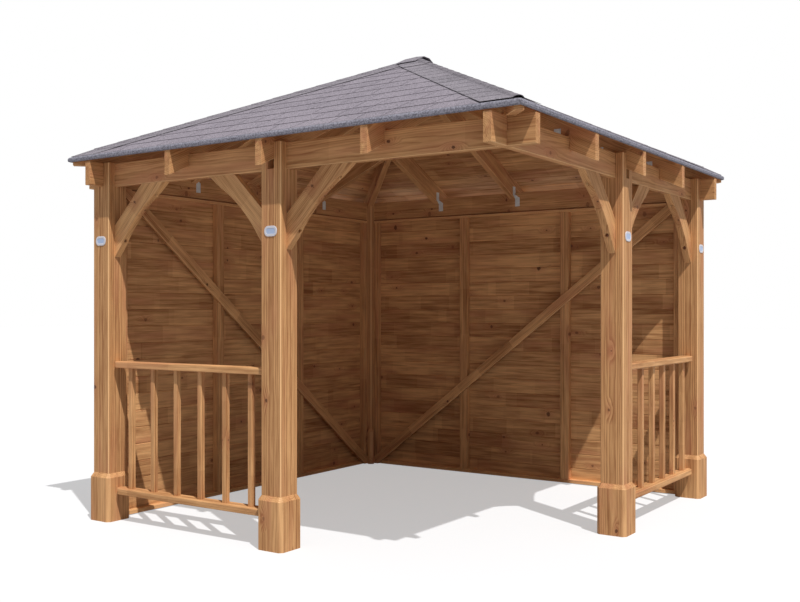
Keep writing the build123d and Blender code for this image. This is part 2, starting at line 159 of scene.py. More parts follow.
def separate(tree, whole):
    """The three parts of a vector."""
    return add(tree, "SeparateXYZ", {0: whole}).outputs


def bump(tree, height, deep):
    """The normal of a rough surface."""
    return add(tree, "Bump", {"Height": height, "Distance": deep, "Strength": 0.6}).outputs[0]


def noise(tree, where, scale, detail=2.0, kind="Fac"):
    """The value or colour of a noise."""
    return add(tree, "TexNoise", {"Vector": where, "Scale": scale, "Detail": detail}).outputs[kind]


def stretched(tree, where, along, across):
    """Coordinates scaled apart, for figure that runs along the grain."""
    return vector(tree, "MULTIPLY", where, (along, across, across))


def new_material(name):
    """A material, its node tree and its shader."""
    material = bpy.data.materials.new(name)
    material.use_nodes = True
    return material, material.node_tree, material.node_tree.nodes["Principled BSDF"]


# ------------------------------ timber
PALE_WOOD = (0.78, 0.432, 0.186)
DARK_WOOD = (0.300, 0.120, 0.040)
RED_WOOD = (0.52, 0.205, 0.100)
KNOT = (0.120, 0.046, 0.020)
# paler colour for arrises: a painted highlight where edges catch the light
ARRIS_HIGHLIGHT = (0.85, 0.530, 0.260)
# near-black: mostly painted shade under a beam, now and then the darkest wood
DARKEST_AND_SHADE = (0.060, 0.030, 0.014)
KNOT_CELL = (0.36, 0.95)        # metres along the grain, and radians about the pith


def make_timber_group():
    """Growth rings about the pith, which runs along the first axis of Grain, with knots and fibres.

    Spacing is that of the rings and Wander how far the pith strays.  Figure, Streaks and Patches are
    the strengths of the rings, of the streaks along the grain and of the changes from length to
    length.  Knots is the share of places that have one.  Tone makes a piece paler, and Highlight
    paints its arrises paler, as a painted highlight where the edges catch the light.
    """
    tree = bpy.data.node_groups.new("timber_figure", "ShaderNodeTree")
    tree.interface.new_socket("Grain", in_out="INPUT", socket_type="NodeSocketVector")
    for name in ("Spacing", "Wander", "Figure", "Streaks", "Patches", "Knots", "Tone", "Highlight"):
        tree.interface.new_socket(name, in_out="INPUT", socket_type="NodeSocketFloat")
    for name, kind in (("Color", "Color"), ("Height", "Float"), ("Roughness", "Float")):
        tree.interface.new_socket(name, in_out="OUTPUT", socket_type="NodeSocket" + kind)
    given = tree.nodes.new("NodeGroupInput")
    grain, spacing, wander, figure, streaks, patches, knots, tone, highlight = given.outputs[:9]
    split = separate(tree, grain)

    # knots run out from the pith, and push the rings aside
    around = calc(tree, "ARCTAN2", split[1], split[2])
    reach = distance(tree, split[1], split[2])
    cell_along = calc(tree, "DIVIDE", split[0], KNOT_CELL[0])
    cell_around = calc(tree, "DIVIDE", around, KNOT_CELL[1])
    cells = combine(tree, cell_along, cell_around)
    points = add(tree, "TexVoronoi", {"Vector": cells, "Scale": 1.0}, voronoi_dimensions="2D")
    chance = add(tree, "SeparateColor", {0: points.outputs["Color"]}).outputs
    kept = calc(tree, "LESS_THAN", chance[0], knots)
    apart = separate(tree, vector(tree, "SUBTRACT", cells, points.outputs["Position"]))
    along = calc(tree, "MULTIPLY", apart[0], KNOT_CELL[0])
    aside = calc(tree, "MULTIPLY", calc(tree, "MULTIPLY", apart[1], KNOT_CELL[1]), reach)
    ragged = ramp(tree, noise(tree, grain, 90.0), 0.3, 0.7, -0.0022, 0.0022)
    near = distance(tree, calc(tree, "MULTIPLY", along, 0.75), aside)
    near = calc(tree, "ADD", near, ragged)
    size = ramp(tree, chance[1], 0.0, 1.0, 0.0045, 0.0105)
    core = ramp(tree, calc(tree, "DIVIDE", near, size), 0.85, 1.25, 1.0, 0.0)
    core = calc(tree, "MULTIPLY", core, kept)
    halo = ramp(tree, distance(tree, calc(tree, "MULTIPLY", along, 0.36), aside), 0.003, 0.034, 1.0, 0.0)
    halo = calc(tree, "MULTIPLY", halo, kept)

    # rings
    stray = noise(tree, stretched(tree, grain, 0.9, 2.4), 1.0, 2.0, "Color")
    stray = vector(tree, "SUBTRACT", stray, (0.5, 0.5, 0.5))
    stray = add(tree, "VectorMath", {0: stray, "Scale": wander}, operation="SCALE").outputs[0]
    strayed = separate(tree, vector(tree, "ADD", grain, stray))
    radius = distance(tree, strayed[1], strayed[2])
    aside_by = calc(tree, "ADD", calc(tree, "MULTIPLY", wander, 0.6), 0.007)
    radius = calc(tree, "ADD", radius, calc(tree, "MULTIPLY", calc(tree, "POWER", halo, 1.6), aside_by))
    uneven = noise(tree, stretched(tree, grain, 5.0, 60.0), 1.0, 2.0)
    rings = calc(tree, "DIVIDE", radius, spacing)
    rings = calc(tree, "ADD", rings, ramp(tree, uneven, 0.3, 0.7, -0.16, 0.16))
    phase = calc(tree, "FRACT", rings)
    late = calc(tree, "MULTIPLY", ramp(tree, phase, 0.30, 0.80), ramp(tree, phase, 0.93, 1.0, 1.0, 0.0))
    each = noise(tree, combine(tree, calc(tree, "FLOOR", rings)), 0.73)
    late = calc(tree, "MULTIPLY", late, ramp(tree, each, 0.3, 0.7, 0.15, 1.0))

    # fibres, streaks and lengths
    fibre = noise(tree, stretched(tree, grain, 9.0, 240.0), 1.0, 3.0)
    streak = noise(tree, stretched(tree, grain, 3.6, 46.0), 1.0, 3.0)
    broad = noise(tree, stretched(tree, grain, 1.7, 11.0), 1.0, 2.0)
    lengths = 0.0
    for size_of, seed in ((0.61, 0.0), (0.37, 50.0)):
        step = calc(tree, "FLOOR", calc(tree, "ADD", calc(tree, "DIVIDE", split[0], size_of), seed))
        white = add(tree, "TexWhiteNoise", {"W": step}, noise_dimensions="1D").outputs["Value"]
        lengths = calc(tree, "ADD", lengths, calc(tree, "SUBTRACT", white, 0.5))

    dark = calc(tree, "MULTIPLY", calc(tree, "MULTIPLY", late, figure), 0.9)
    dark = calc(tree, "ADD", dark, ramp(tree, fibre, 0.3, 0.7, -0.13, 0.13))
    mottle = ramp(tree, streak, 0.32, 0.68, -0.34, 0.34)
    mottle = calc(tree, "ADD", mottle, ramp(tree, broad, 0.3, 0.7, -0.2, 0.2))
    dark = calc(tree, "ADD", dark, calc(tree, "MULTIPLY", mottle, streaks))
    dark = calc(tree, "ADD", dark, calc(tree, "MULTIPLY", lengths, calc(tree, "MULTIPLY", patches, 0.42)))
    dark = calc(tree, "ADD", dark, calc(tree, "MULTIPLY", halo, 0.34))
    dark = calc(tree, "SUBTRACT", calc(tree, "ADD", dark, 0.34), tone)
    color = blend(tree, ramp(tree, dark, -0.35, 1.35), PALE_WOOD, DARK_WOOD)
    # near-black where dark runs past the wood's range: mostly painted shade, sometimes the darkest wood
    color = blend(tree, ramp(tree, dark, 1.5, 2.5), color, DARKEST_AND_SHADE)
    red = noise(tree, stretched(tree, vector(tree, "ADD", grain, (5.0, 0.3, 0.9)), 1.9, 12.0), 1.0, 1.0)
    red = calc(tree, "ADD", ramp(tree, red, 0.50, 0.78, 0.0, 0.50), calc(tree, "MULTIPLY", halo, 0.35))
    color = blend(tree, red, color, RED_WOOD)
    core = calc(tree, "MULTIPLY", core, ramp(tree, chance[2], 0.0, 1.0, 0.45, 0.95))
    color = blend(tree, core, color, KNOT)
    # painted highlight: the arrises turn paler, as if catching the light
    color = blend(tree, calc(tree, "MULTIPLY", highlight, 0.55), color, ARRIS_HIGHLIGHT)

    height = calc(tree, "SUBTRACT", calc(tree, "MULTIPLY", fibre, 0.7), calc(tree, "MULTIPLY", late, 0.6))
    roughness = ramp(tree, dark, 0.0, 1.0, 0.58, 0.78)
    gives = tree.nodes.new("NodeGroupOutput")
    feed(tree, gives, {"Color": color, "Height": height, "Roughness": roughness})
    return tree


timber_group = make_timber_group()
POST_LOOK = {"Spacing": 0.0066, "Wander": 0.006, "Figure": 1.5,
             "Streaks": 0.6, "Patches": 0.15, "Knots": 0.13}
BEAM_LOOK = {"Spacing": 0.0085, "Wander": 0.055, "Figure": 0.9,
             "Streaks": 0.9, "Patches": 0.5, "Knots": 0.32}
BOARD_LOOK = {"Spacing": 0.0070, "Wander": 0.030, "Figure": 0.6,
              "Streaks": 1.4, "Patches": 1.2, "Knots": 0.24}
SLIM_LOOK = {"Spacing": 0.0070, "Wander": 0.015, "Figure": 1.1,
             "Streaks": 1.1, "Patches": 0.6, "Knots": 0.14}


def finish_timber(tree, shader, grain, tone, look, highlight=0.0):
    """Links the timber group to a shader."""
    sockets = {**look, "Grain": grain, "Tone": tone, "Highlight": highlight}
    color, height, roughness = add(tree, "Group", sockets, node_tree=timber_group).outputs
    feed(tree, shader, {"Base Color": color, "Roughness": roughness,
                        "Normal": bump(tree, height, 0.0012), "Specular IOR Level": 0.3})


def board_timber(name):
    """Timber for boards made here, which carry their own grain and tone."""
    material, tree, shader = new_material(name)
    grain = add(tree, "Attribute", attribute_name="grain").outputs["Vector"]
    tone = add(tree, "Attribute", attribute_name="tone").outputs["Fac"]
    finish_timber(tree, shader, grain, tone, BOARD_LOOK)
    return material


def frame_of(along, beside):
    """The turn that brings the grain to the first axis and leaves beside near the second."""
    first = Vector(along).normalized()
    third = first.cross(Vector(beside)).normalized()
    return Matrix((first, third.cross(first), third))


def grain_of(tree, along, beside, centre, pith, repeat=0.0, repeat_third=0.0):
    """Grain coordinates of a CAD node: how far along, and the place across from the pith.

    Where like pieces repeat along the second axis, or the third, each has its own pith.
    """
    turn = frame_of(along, beside)
    here = add(tree, "TexCoord").outputs["Object"]
    moved = vector(tree, "SUBTRACT", here, tuple(centre))
    placed = add(tree, "Mapping", {"Vector": moved, "Rotation": turn.to_euler("XYZ")}).outputs[0]
    far, second, third = separate(tree, placed)
    index = None
    if repeat:
        folded = calc(tree, "WRAP", second, repeat / 2, -repeat / 2)
        index = calc(tree, "SUBTRACT", second, folded)
        second = folded
    if repeat_third:
        folded = calc(tree, "WRAP", third, repeat_third / 2, -repeat_third / 2)
        extra = calc(tree, "MULTIPLY", calc(tree, "SUBTRACT", third, folded), 3.1)
        index = calc(tree, "ADD", index, extra) if index else extra
        third = folded
    if index:
        far = calc(tree, "ADD", far, calc(tree, "MULTIPLY", index, 7.3))
    second = calc(tree, "ADD", second, pith[0])
    third = calc(tree, "ADD", third, pith[1])
    return combine(tree, far, second, third)


def arris_of(tree, along, beside):
    """1 on the narrow faces between two sides of a timber, and 0 on its sides and ends."""
    facing = add(tree, "NewGeometry").outputs["True Normal"]
    turn = frame_of(along, beside).to_euler("XYZ")
    facing = add(tree, "Mapping", {"Vector": facing, "Rotation": turn}).outputs[0]
    split = separate(tree, facing)
    return ramp(tree, calc(tree, "ABSOLUTE", calc(tree, "MULTIPLY", split[1], split[2])), 0.25, 0.30)


def solid_timber(name, along, beside, centre, pith, tone, look, highlight=1.0, **repeats):
    """Timber for a CAD node whose pieces all run the same way."""
    material, tree, shader = new_material(name)
    grain = grain_of(tree, along, beside, centre, pith, **repeats)
    # painted highlight on the arrises, as strong as highlight
    highlight = calc(tree, "MULTIPLY", arris_of(tree, along, beside), highlight)
    finish_timber(tree, shader, grain, tone, look, highlight)
    return material


# ------------------------------ felt, metal and plates
FELT_PALE = (0.316, 0.278, 0.312)
FELT_DARK = (0.165, 0.147, 0.168)
# near-black of the felt's trimmed edges, and of painted shade
FELT_CUT_AND_SHADE = (0.050, 0.045, 0.050)


def make_felt(name, pale, dark, contrast):
    """Bitumen felt with mineral granules: tone is per shingle, and cut_and_shade is 1 on its trimmed
    edges and where the felt is darkened as painted shade.
    """
    material, tree, shader = new_material(name)
    here = add(tree, "TexCoord").outputs["Object"]
    tone = add(tree, "Attribute", attribute_name="tone").outputs["Fac"]
    cut_and_shade = add(tree, "Attribute", attribute_name="cut_and_shade").outputs["Fac"]
    grains = add(tree, "TexVoronoi", {"Vector": here, "Scale": 210.0})
    speckle = add(tree, "SeparateColor", {0: grains.outputs["Color"]}).outputs[0]
    coarse = noise(tree, here, 110.0, 3.0)
    cloud = noise(tree, here, 3.2, 3.0)
    mix = calc(tree, "ADD", calc(tree, "MULTIPLY", calc(tree, "SUBTRACT", speckle, 0.5), contrast), 0.42)
    mix = calc(tree, "ADD", mix, ramp(tree, coarse, 0.3, 0.7, -contrast, contrast))
    mix = calc(tree, "ADD", mix, ramp(tree, cloud, 0.3, 0.7, -0.13, 0.13))
    mix = calc(tree, "SUBTRACT", mix, tone)
    color = blend(tree, ramp(tree, mix, 0.0, 1.0), pale, dark)
    color = blend(tree, calc(tree, "MULTIPLY", cut_and_shade, 0.85), color, FELT_CUT_AND_SHADE)
    rough = ramp(tree, speckle, 0.0, 1.0, 0.82, 0.97)
    feed(tree, shader, {"Base Color": color, "Roughness": rough,
                        "Normal": bump(tree, speckle, 0.001), "Specular IOR Level": 0.15})
    return material


def make_steel(name, bright, dark, roughness):
    """Galvanised steel, dull, with the faint spangle of the zinc."""
    material, tree, shader = new_material(name)
    here = add(tree, "TexCoord").outputs["Object"]
    spangle = add(tree, "TexVoronoi", {"Vector": here, "Scale": 130.0})
    tint = add(tree, "SeparateColor", {0: spangle.outputs["Color"]}).outputs[1]
    stain = noise(tree, here, 24.0, 3.0)
    mix = calc(tree, "ADD", calc(tree, "MULTIPLY", tint, 0.45), ramp(tree, stain, 0.35, 0.7, 0.0, 0.5))
    color = blend(tree, mix, bright, dark)
    rough = ramp(tree, stain, 0.2, 0.8, roughness - 0.08, roughness + 0.12)
    feed(tree, shader, {"Base Color": color, "Roughness": rough, "Metallic": 0.2})
    return material


def make_plate(name, color, shade):
    """Satin paint on a small pressed plate."""
    material, tree, shader = new_material(name)
    here = add(tree, "TexCoord").outputs["Object"]
    cloud = noise(tree, here, 40.0, 3.0)
    color = blend(tree, ramp(tree, cloud, 0.3, 0.7, 0.0, 0.5), color, shade)
    feed(tree, shader, {"Base Color": color, "Roughness": ramp(tree, cloud, 0.3, 0.7, 0.34, 0.46)})
    return material


felt = make_felt("felt", FELT_PALE, FELT_DARK, 0.75)
felt_edge = make_felt("felt_edge", (0.318, 0.306, 0.352), (0.158, 0.150, 0.176), 0.90)
felt_cap = make_felt("felt_cap", (0.294, 0.264, 0.290), (0.150, 0.137, 0.152), 0.75)
steel = make_steel("galvanised", (0.80, 0.85, 0.86), (0.60, 0.64, 0.66), 0.42)
screw_steel = make_steel("screw_steel", (0.34, 0.150, 0.085), (0.16, 0.070, 0.040), 0.5)
plate_rim = make_plate("plate_rim", (0.64, 0.62, 0.66), (0.55, 0.54, 0.58))
plate_face = make_plate("plate_face", (0.42, 0.50, 0.68), (0.36, 0.44, 0.62))
cladding = board_timber("cladding")
lining = board_timber("roof_lining")


# ------------------------------ mesh helpers
class Build:
    """Gathers swept pieces into one mesh, with the grain, tone and cut_and_shade of each point."""

    def __init__(self):
        self.points, self.grain, self.tone, self.cut_and_shade = [], [], [], []
        self.faces, self.looks = [], []

    def sweep(self, rings, grain=None, tone=0.0, cut_and_shade=None, look=0):
        """A closed solid through rings of as many points each, capped at both ends."""
        first, count = len(self.points), len(rings[0])
        for index, ring in enumerate(rings):
            self.points += ring
            self.grain += grain[index] if grain else ring
            self.cut_and_shade += cut_and_shade[index] if cut_and_shade else [0.0] * count
            self.tone += [tone] * count
        for level in range(len(rings) - 1):
            base = first + level * count
            for i in range(count):
                j = (i + 1) % count
                self.faces.append((base + i, base + j, base + count + j, base + count + i))
        last = first + (len(rings) - 1) * count
        self.faces.append(tuple(first + i for i in reversed(range(count))))
        self.faces.append(tuple(last + i for i in range(count)))
        self.looks += [look] * (len(self.faces) - len(self.looks))

    def place(self, name, materials, slot, replaces=(), matrix=Matrix()):
        """Makes the object, turned to its place, and lets it ride with the gazebo."""
        mesh = bpy.data.meshes.new(name)
        mesh.from_pydata(self.points, [], self.faces)
        mesh.attributes.new("grain", "FLOAT_VECTOR", "POINT").data.foreach_set(
            "vector", [value for point in self.grain for value in point])
        mesh.attributes.new("tone", "FLOAT", "POINT").data.foreach_set("value", self.tone)
        mesh.attributes.new("cut_and_shade", "FLOAT", "POINT").data.foreach_set("value", self.cut_and_shade)
        for material in materials:
            mesh.materials.append(material)
        mesh.polygons.foreach_set("material_index", self.looks)
        mesh.transform(matrix)
        outward(mesh)
        piece = bpy.data.objects.new(name, mesh)
        bpy.context.scene.collection.objects.link(piece)
        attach(piece, "root")
        if replaces:
            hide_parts(*replaces)


def outward(mesh):
    """Turns every face of closed solids outwards."""
    solid = bmesh.new()
    solid.from_mesh(mesh)
    bmesh.ops.recalc_face_normals(solid, faces=solid.faces)
    solid.to_mesh(mesh)
    solid.free()


# ------------------------------ boards
def board_section(width, thick):
    """The section of a board with V edges to the room, as (across, through) points."""
    return [(GROOVE, 0.0), (width - GROOVE, 0.0), (width, GROOVE), (width, thick - BOARD_EASE),
            (width - BOARD_EASE, thick), (BOARD_EASE, thick), (0.0, thick - BOARD_EASE), (0.0, GROOVE)]


def lay_board(build, section, ends, place, tone):
    """A board from ends[0] to ends[1], which may depend on the place across, with its own pith."""
    start = dice.uniform(0.0, 90.0)
    pith = (dice.uniform(-0.09, 0.03), dice.uniform(0.03, 0.075))
    tone += dice.gauss(0.0, 0.11)
    rings, grain = [], []
    for end in ends:
        rings.append([place(end(across), across, through) for across, through in section])
        grain.append([(start + end(across), across + pith[0], through + pith[1])
                      for across, through in section])
    build.sweep(rings, grain, tone)


def add_wall(side):
    """The boards of a wall, one above the other, some a little prouder than others."""
    node = side + "_wall_boards"
    (left, right), (inner, outer), (low, high) = to_local(side, node)
    build = Build()
    width = (high - low) / WALL_BOARDS
    for index in range(WALL_BOARDS):
        foot = low + index * width
        proud = dice.uniform(0.0, BOARD_PROUD)
        section = board_section(width, outer - inner - BOARD_PLAY)
        lay_board(build, section, (lambda across: left, lambda across: right),
                  lambda u, across, through: (u, -(inner + proud + through), foot + across), 0.0)
    build.place(side + "_cladding", [cladding], "timber", [node], turned(side))


def add_roof_boards(side):
    """The boards of one side of the roof, level, and trimmed along both hips."""
    rise = HALF / ROOF_BOARDS
    build = Build()
    for index in range(ROOF_BOARDS):
        outer_v = HALF - index * rise
        section = board_section(rise, BOARD_PLUMB)

        def place(u, across, through):
            v = outer_v - across
            return (u, -v, EAVES + SLOPE * (HALF - v) + through)

        def at_hip(across):
            return max(outer_v - across - MITRE, 0.0)

        lay_board(build, section, (lambda across: -at_hip(across), at_hip), place, -0.12)
    build.place(side + "_roof_lining", [lining], "timber", [side + "_roof_boards"], turned(side))


# ------------------------------ shingles
def on_roof(u, up, lift):
    """A point of the front slope: along it, up it from the edge of the boards, and above them."""
    v = HALF - up * ALONG_SLOPE
    z = EAVES + BOARD_PLUMB + SLOPE * (HALF - v)
    return (u, -v - lift * math.sin(PITCH), z + lift * ALONG_SLOPE)


def hip_u(up):
    """How far along the slope its hips lie, at a distance up it."""
    return HALF - up * ALONG_SLOPE


SHEET_LIFT = 0.0066           # of the underlay that shows in the slits
BUTT_LIFT = (0.0080, 0.0104)  # underside and top of a shingle at its lower edge
HEAD_LIFT = (0.0054, 0.0078)  # and where the next course covers it
SLIT = 0.0085                 # between two shingles of a course
HEAD_LAP = 0.020              # of a course under the next
EDGE_STRIP = 0.013            # from the edge of the boards up to the foot of the lowest strip
HIP_GAP = 0.004               # of the courses from the hips and the apex


def add_underlay(build):
    """A sheet under the shingles of a side, dark as painted shade where it shows in the slits."""
    top = HALF / ALONG_SLOPE
    rings = []
    for up in (0.0, top - 0.001):
        u = hip_u(up) - MITRE
        rings.append([on_roof(-u, up, 0.0), on_roof(u, up, 0.0), on_roof(u, up, SHEET_LIFT),
                      on_roof(-u, up, SHEET_LIFT)])
    # dark all over, as painted shade in the slits
    build.sweep(rings, cut_and_shade=[[0.9] * 4] * 2)


def add_shingle(build, foot, head, low_u, high_u, butt):
    """One shingle, dark at its foot: low_u and high_u are its edges at the foot and the head."""
    wave = [dice.uniform(-0.0025, 0.0025) for _ in range(3)]
    # how far up the roof, share of the way to the head, lifts off the roof, and how dark: the foot is
    # dark partly as the black edge of the felt and partly as painted shade along the course line
    stations = ((foot, 0.0, butt, 0.42),
                (foot + 0.0040, 0.02, butt, 0.0),
                (head, 1.0, HEAD_LIFT, 0.0))
    rings = []
    for up, share_up, lifts, _ in stations:
        ring = []
        for lift, order in ((lifts[0], (0, 1, 2)), (lifts[1], (2, 1, 0))):
            for step in order:
                edges = [low + (high - low) * share_up for low, high in (low_u, high_u)]
                u = edges[0] + (edges[1] - edges[0]) * step / 2
                ring.append(on_roof(u, up + wave[step] * (share_up < 1), lift))
        rings.append(ring)
    cut_and_shade = [[station[3]] * 6 for station in stations]
    build.sweep(rings, tone=dice.gauss(0.0, 0.06), cut_and_shade=cut_and_shade)


def add_courses(build):
    """Courses of shingles with slanting slits, each over the head of the one below."""
    feet = [EDGE_STRIP] + [FIRST_COURSE + COURSE * index for index in range(COURSES)]
    for foot in feet:
        head = min(foot + COURSE + HEAD_LAP, HALF / ALONG_SLOPE - HIP_GAP)
        butt = BUTT_LIFT
        if foot == feet[0]:
            head = FIRST_COURSE + HEAD_LAP
            butt = HEAD_LIFT
        u_foot, u_head = hip_u(foot) - HIP_GAP, hip_u(head) - HIP_GAP
        low = (-u_foot, -u_head)
        u = -u_foot + dice.uniform(0.05, 0.22)
        while u < u_foot - 0.05:
            slant = dice.choice((-1, 1)) * dice.uniform(0.004, 0.045)
            mid = (u, max(min(u + slant, u_head), -u_head))
            if -u_head < mid[1] < u_head:
                high = (mid[0] - SLIT / 2, mid[1] - SLIT / 2)
                add_shingle(build, foot, head, low, high, butt)
                low = (mid[0] + SLIT / 2, mid[1] + SLIT / 2)
            u += dice.uniform(0.13, 0.34)
        add_shingle(build, foot, head, low, (u_foot, u_head), butt)


def eaves_section():
    """The felt rolled round the edge of the boards, in layers, as (v, z) points."""
    edge, notch, inner, foot = FELT_EDGE, 0.0010, 0.010, EAVES + 0.0015
    top = FELT_TOP - SLOPE * (FELT_EDGE - HALF) - 0.0040
    low_round, high_round = 0.0078, 0.014
    points = [(HALF - 0.0034, EAVES + 0.0002)]
    for step in range(5):
        angle = math.pi / 2 * (step / 4 - 1)
        v = edge + low_round * (math.cos(angle) - 1)
        points.append((v, foot + low_round * (1 + math.sin(angle))))
    middle = foot + 0.0130
    points += [(edge, middle - 0.0007), (edge - notch, middle - 0.0003)]
    points += [(edge - notch, middle + 0.0003), (edge, middle + 0.0007)]
    turn = math.pi / 2 - PITCH
    corner = top - high_round * math.tan(turn / 2)
    for step in range(7):
        angle = turn * step / 6
        v = edge + high_round * (math.cos(angle) - 1)
        points.append((v, corner + high_round * math.sin(angle)))
    rise = EAVES + BOARD_PLUMB + SLOPE * inner
    points += [(HALF - inner, rise + FELT_PLUMB - 0.0046), (HALF - inner, rise + 0.0005)]
    points += [(HALF + 0.0002, EAVES + BOARD_PLUMB), (HALF + 0.0002, EAVES + GROOVE + 0.0002)]
    return points


def add_eaves(build):
    """The layered edge of the felt along the eaves, not quite straight, mitred at the corners."""
    section = eaves_section()
    # painted shade: the roll darker towards its underside and the boards' edge, which lie in shade
    shade_below = [0.6, 0.3] + [0.06 * max(0.0, 1 - (z - EAVES) / 0.020) for _, z in section[2:]]
    steps = 44
    rings = []
    ease = 0.0
    for step in range(steps + 1):
        share = 2 * step / steps - 1
        ease = 0.6 * ease + 0.4 * dice.uniform(0.0, 0.0022)
        inside = 0.0 if step in (0, steps) else ease
        ring = []
        for v, z in section:
            held = max(v - HALF, 0.0) / (FELT_EDGE - HALF)
            ring.append((share * (v - 0.0004), -(v - inside * held), z))
        rings.append(ring)
    build.sweep(rings, cut_and_shade=[shade_below] * len(rings), look=1)


def add_roof_felt(side):
    """The shingles and the edge of the felt on one side of the roof."""
    build = Build()
    add_underlay(build)
    add_courses(build)
    add_eaves(build)
    build.place(side + "_shingles", [felt, felt_edge], "roof_felt", [side + "_roof_felt"], turned(side))


# ------------------------------ caps
HIP_CAP_REACH = 0.153              # in plan, from the hip to the edge of a cap
HIP_CAP_BEND = 0.035               # radius of the fold
HIP_CAP_CROWN = 0.0055             # height of the fold above the hip
HIP_CAP_EXPOSURE = 0.142           # length of a cap that shows, in plan
HIP_CAP_LAP = 0.018                # and that the next one covers
HIP_CAPS = 16                      # along each hip
HIP_CAP_SETBACK = 0.014            # of the lowest cap from the edge of the felt
CAP_FOOT = (0.0018, 0.0036)        # underside and top of a cap above the felt, at its foot
CAP_HEAD = (0.0002, 0.0016)        # and at its head
CAP_AT_EAVES = (-0.0031, -0.0013)  # of the lowest cap, where it lies down
CAP_OVER_EAVES = (0.0026, 0.0044)  # and where it stands off
CAP_CROSSED = 0.0024               # how much higher two of the hips lie where the caps cross
CAP_STACKED = 0.0015               # and all of them under the apex cap


def cap_fold(t, crown):
    """Height of a cap above the line of its hip, at t beside it in plan."""
    flat = -HIP_FALL * abs(t)
    if abs(t) >= HIP_CAP_BEND:
        return flat
    bend = crown - HIP_CAP_BEND + math.sqrt(HIP_CAP_BEND ** 2 - t ** 2)
    return max(flat, bend)


def cap_point(reach, t, lift, crown):
    """A point of a hip cap: down the hip in plan, t beside it, and lift above the felt."""
    t = max(-reach, min(reach, t))
    along = reach - abs(t)
    x, y = (along - t) / math.sqrt(2), -(along + t) / math.sqrt(2)
    return (x, y, APEX - HIP_FALL * along + cap_fold(t, crown) + lift)


def add_hip_caps():
    """Short caps folded over each hip, each over the head of the one below.

    Each is dark along its trimmed sides, partly as the black edge of the felt and partly as painted
    shade of the line beside it, and it is a little darker along its fold.
    """
    share = (1.0, 0.982, 0.72, 0.45, 0.26, 0.19, 0.14, 0.09, 0.045, 0.0)
    across = [-HIP_CAP_REACH * s for s in share]
    across += [HIP_CAP_REACH * s for s in reversed(share[:-1])]
    # 1 on the trimmed sides, partly felt edge and partly painted shade; a little darker along the fold
    cut_and_shade = [1.0 if abs(t) == HIP_CAP_REACH else 0.28 * max(0.0, 1 - abs(t) / 0.08) for t in across]
    edge = (FELT_EDGE - HIP_CAP_SETBACK) * math.sqrt(2)
    build = Build()
    for turn in range(4):
        spin = Matrix.Rotation(math.radians(90 * turn), 3, "Z")
        for index in range(HIP_CAPS):
            foot = edge - index * HIP_CAP_EXPOSURE
            head = max(foot - HIP_CAP_EXPOSURE - HIP_CAP_LAP, 0.002)
            uneven = dice.uniform(-0.004, 0.004)
            over = turn % 2 == 0
            crossed = CAP_CROSSED * (over and index > HIP_CAPS - 4)
            foot_up = crossed + CAP_STACKED * (index == HIP_CAPS - 1)
            head_up = crossed + CAP_STACKED * (index > HIP_CAPS - 3)
            low = (foot + uneven, CAP_FOOT, HIP_CAP_CROWN, foot_up)
            if index == 0 and over:
                low = (foot, CAP_OVER_EAVES, HIP_CAP_CROWN, 0.0)
            elif index == 0:
                low = (foot, CAP_AT_EAVES, 0.001, 0.0)
            high = (head, CAP_HEAD, HIP_CAP_CROWN, head_up)
            rings = []
            for reach, (under, top), crown, raised in (low, high):
                ring = [cap_point(reach, t, top + raised, crown) for t in across]
                ring += [cap_point(reach, t, under + raised, crown) for t in reversed(across)]
                rings.append([tuple(spin @ Vector(point)) for point in ring])
            build.sweep(rings, tone=dice.gauss(0.0, 0.08), cut_and_shade=[cut_and_shade * 2] * 2)
    build.place("hip_cap_strips", [felt_cap], "roof_felt", ["hip_caps"])


# ------------------------------ braces, screws, clips and plates
BRACES = {                      # side, the way that it leans, and how pale it is
    "front_left_brace": ("front", 1, 0.45), "front_middle_left_brace": ("front", -1, 0.30),
    "front_middle_right_brace": ("front", 1, 0.0), "right_middle_front_brace": ("right", -1, 0.05),
    "right_middle_back_brace": ("right", 1, 0.10), "right_back_brace": ("right", -1, 0.05),
}
BEAM_HOLE = (0.355, 0.072)  # along the beam from the post, and below the beam
POST_HOLE = (0.082, 0.345)
HOLE_RADIUS = 0.0125
HOLE_DEPTH = 0.022
CUTTER_OVER = 0.05          # length of a cutter outside the timber
WELD = 0.00002              # points of a CAD mesh that are this near are one
EASE = 0.0025               # width of the eased edges of most timbers
BEAM_EASE = 0.003           # and of beams and diagonals
# of turned heads: radius, place along the axis, and depth of six lobes
SCREW_PROFILE = ((0.0085, 0.0, 0.0), (0.0090, -0.0020, 0.0), (0.0080, -0.0042, 0.0),
                 (0.0045, -0.0047, 0.12), (0.0040, -0.0015, 0.12))
NAIL_PROFILE = ((0.0036, -0.0004, 0.0), (0.0036, 0.0006, 0.0), (0.0022, 0.0011, 0.0))
CLIP_FOLD = 0.0238                 # from the middle of a rafter to the fold of its clip
CLIP_THICK = 0.0020
NAIL_ROWS = (0.012, 0.030, 0.048)  # from the end of a leg
NAIL_COLUMNS = (0.012, 0.028)      # from the fold


def cylinder(radius, depth):
    """The mesh of a cylinder about its middle."""
    mesh = bpy.data.meshes.new("cutter")
    shape = bmesh.new()
    bmesh.ops.create_cone(shape, cap_ends=True, segments=20, radius1=radius, radius2=radius, depth=depth)
    shape.to_mesh(mesh)
    shape.free()
    return mesh


def hole_places(node):
    """Where the two screw holes of a brace open, and the way that each goes in."""
    side, direction, _ = BRACES[node]
    (low_u, high_u), (inner, outer), (_, top) = to_local(side, node)
    post_face = low_u if direction > 0 else high_u
    v = (inner + outer) / 2
    places = []
    for (p, q), way in ((BEAM_HOLE, (0, 0, 1)), (POST_HOLE, (-direction, 0, 0))):
        mouth = Vector((post_face + direction * p, -v, top - q))
        places.append((turned(side) @ mouth, faced(side, way)))
    return places


